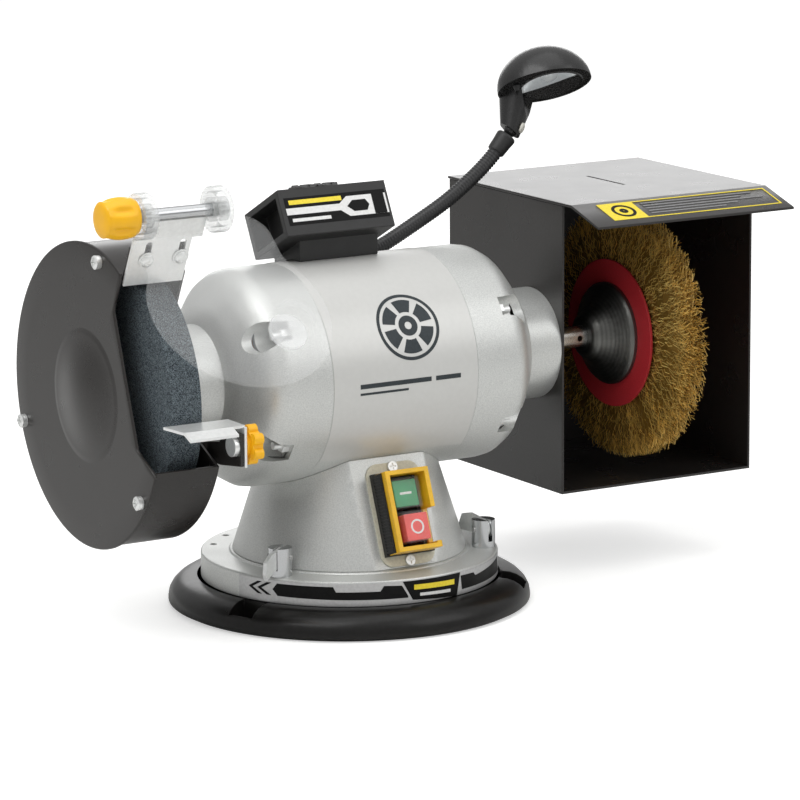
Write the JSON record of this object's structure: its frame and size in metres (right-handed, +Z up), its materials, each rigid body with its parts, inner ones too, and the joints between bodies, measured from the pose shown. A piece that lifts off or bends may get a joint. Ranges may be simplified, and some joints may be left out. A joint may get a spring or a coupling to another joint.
{
  "type": "bench grinder",
  "caption": "Bench grinder on a rotary base with a grinding wheel, a guarded wire brush, an eye shield, a tool rest, a wheel dresser and a gooseneck lamp.",
  "frame": {"origin": "centre of the base ring on its underside, at the middle of the circle of bench bolts", "axes": "+X along the motor shaft from the grinding wheel to the wire brush, -Y towards the operator, +Z up"},
  "size_m": [0.603, 0.351, 0.4098],
  "materials": {
    "gloss_black": "gloss black paint",
    "steel": "bright machined steel",
    "nylon": "natural nylon",
    "silver_paint": "cast aluminium in satin silver hammered paint",
    "disc_label": "printed band in silver and black",
    "zinc": "bright zinc plate",
    "label_sheet": "off-white satin sheet",
    "lamination": "stacked electrical steel",
    "copper_wire": "varnished copper winding",
    "black_plastic": "moulded black plastic",
    "abrasive": "coarse blue-grey vitrified grit",
    "red_paint": "satin red paint",
    "brass_wire": "crimped brass-coated wire",
    "dark_steel": "dark phosphated steel",
    "black_paint": "satin black powder coat",
    "cream_plate": "cream enamel",
    "yellow_plastic": "yellow moulded plastic",
    "green_button": "green plastic under a clear cap",
    "red_button": "red plastic under a clear cap",
    "chrome": "polished chrome",
    "clear_plastic": "clear polycarbonate",
    "amber_plastic": "amber moulded plastic",
    "gooseneck_rubber": "ribbed black sleeve",
    "gloss_black_plastic": "gloss black plastic",
    "reflector": "metallised reflector"
  },
  "bodies": {
    "base": {"base_ring": "gloss_black", "pivot_bolt": "steel", "thrust_washer": "nylon", "pivot_nut": "steel"},
    "turntable": {"turntable_disc": "silver_paint", "disc_label": "disc_label", "pedestal": "silver_paint", "pedestal_screws": "steel", "clamp_posts": "zinc", "clamp_pins": "steel", "motor_housing": "silver_paint", "motor_label": "label_sheet", "end_bell_left": "silver_paint", "end_bell_right": "silver_paint", "tie_bolts": "zinc", "stator_core": "lamination", "windings": "copper_wire", "bearings": "steel", "capacitor": "black_plastic", "cable_gland": "black_plastic", "wheel_guard": "black_paint", "wheel_guard_cover": "black_paint", "guard_screws": "zinc", "brush_guard_box": "black_paint", "brush_guard_top": "black_paint", "switch_plate": "cream_plate", "switch_screws": "zinc", "switch_body": "black_plastic", "switch_frame": "yellow_plastic", "shield_screws": "zinc", "tool_rest_arm": "black_paint", "tool_rest_bolt": "zinc", "dresser_holder": "black_plastic", "lamp_foot": "black_plastic"},
    "rotor": {"shaft": "steel", "rotor_core": "lamination", "grinding_wheel": "abrasive", "wheel_flanges": "steel", "shaft_nuts": "steel", "brush_flanges": "red_paint", "wire_brush": "brass_wire", "brush_cup": "dark_steel"},
    "start_button": {"start_button": "green_button"},
    "stop_button": {"stop_button": "red_button"},
    "lever_left": {"clamp_lever_left": "zinc"},
    "lever_right": {"clamp_lever_right": "zinc"},
    "lever_back": {"clamp_lever_back": "zinc"},
    "bracket": {"shield_bracket": "zinc", "shield_rod": "chrome"},
    "shield": {"eye_shield": "clear_plastic"},
    "shield_knob": {"shield_knob": "amber_plastic"},
    "rest": {"tool_rest": "zinc"},
    "rest_knob": {"tool_rest_knob": "amber_plastic"},
    "dresser": {"dresser_body": "dark_steel"},
    "dresser_cutters": {"dresser_cutters": "dark_steel"},
    "lamp_arm": {"gooseneck_lower": "gooseneck_rubber"},
    "lamp_neck": {"gooseneck_upper": "gooseneck_rubber"},
    "lamp_head": {"lamp_hood": "gloss_black_plastic", "lamp_reflector": "reflector"},
    "lamp_switch": {"lamp_switch": "black_plastic"}
  },
  "joints": [
    {"name": "turntable_turn", "type": "hinge", "parent": "base", "child": "turntable", "pos_m": [0, 0, 0.03], "axis": [0, 0, 1], "range_deg": [-180, 180]},
    {"name": "rotor_spin", "type": "hinge", "parent": "turntable", "child": "rotor", "pos_m": [0, 0, 0.184], "axis": [1, 0, 0], "continuous": true},
    {"name": "start_press", "type": "slide", "parent": "turntable", "child": "start_button", "axis": [0, 0.9358, -0.3527], "range_m": [0, 0.003], "stiffness_N_per_m": 300},
    {"name": "stop_press", "type": "slide", "parent": "turntable", "child": "stop_button", "axis": [0, 0.9358, -0.3527], "range_m": [0, 0.003], "stiffness_N_per_m": 300},
    {"name": "clamp_left", "type": "hinge", "parent": "turntable", "child": "lever_left", "pos_m": [-0.09008, -0.05097, 0.0545], "axis": [0.5736, -0.8192, 0], "range_deg": [-80, 0]},
    {"name": "clamp_right", "type": "hinge", "parent": "turntable", "child": "lever_right", "pos_m": [0.08918, -0.05253, 0.0545], "axis": [-0.9945, -0.1045, 0], "range_deg": [-80, 0]},
    {"name": "clamp_back", "type": "hinge", "parent": "turntable", "child": "lever_back", "pos_m": [0.0009, 0.1035, 0.0545], "axis": [-1, 0, 0], "range_deg": [-80, 0]},
    {"name": "bracket_slide", "type": "slide", "parent": "turntable", "child": "bracket", "axis": [0, -0.4368, 0.8996], "range_m": [-0.004, 0.004]},
    {"name": "shield_tilt", "type": "hinge", "parent": "bracket", "child": "shield", "pos_m": [0, -0.083, 0.329], "axis": [1, 0, 0], "range_deg": [-105, 20]},
    {"name": "shield_knob_turn", "type": "hinge", "parent": "bracket", "child": "shield_knob", "pos_m": [0, -0.083, 0.329], "axis": [1, 0, 0], "range_deg": [-180, 180]},
    {"name": "rest_slide", "type": "slide", "parent": "turntable", "child": "rest", "axis": [0, -1, 0], "range_m": [0, 0.012]},
    {"name": "rest_knob_turn", "type": "hinge", "parent": "turntable", "child": "rest_knob", "pos_m": [0, -0.122, 0.161], "axis": [1, 0, 0], "range_deg": [-180, 180]},
    {"name": "dresser_lift", "type": "slide", "parent": "turntable", "child": "dresser", "axis": [0, 0.454, 0.891], "range_m": [0, 0.08]},
    {"name": "cutter_spin", "type": "hinge", "parent": "dresser", "child": "dresser_cutters", "pos_m": [0, 0.01959, 0.31128], "axis": [1, 0, 0], "continuous": true},
    {"name": "lamp_swivel", "type": "hinge", "parent": "turntable", "child": "lamp_arm", "pos_m": [0.05, 0.05, 0.257], "axis": [0, 0, 1], "range_deg": [-45, 45]},
    {"name": "gooseneck_bend", "type": "hinge", "parent": "lamp_arm", "child": "lamp_neck", "pos_m": [0.149, 0.05, 0.31], "axis": [0, 1, 0], "range_deg": [-35, 8]},
    {"name": "lamp_tilt", "type": "hinge", "parent": "lamp_neck", "child": "lamp_head", "pos_m": [0.18, 0.05, 0.344], "axis": [0.5219, 0.7001, -0.4873], "range_deg": [-25, 25]},
    {"name": "lamp_switch_toggle", "type": "hinge", "parent": "lamp_head", "child": "lamp_switch", "pos_m": [0.18089, 0.04338, 0.37967], "axis": [0.5219, 0.7001, -0.4873], "range_deg": [-8, 8]}
  ]
}
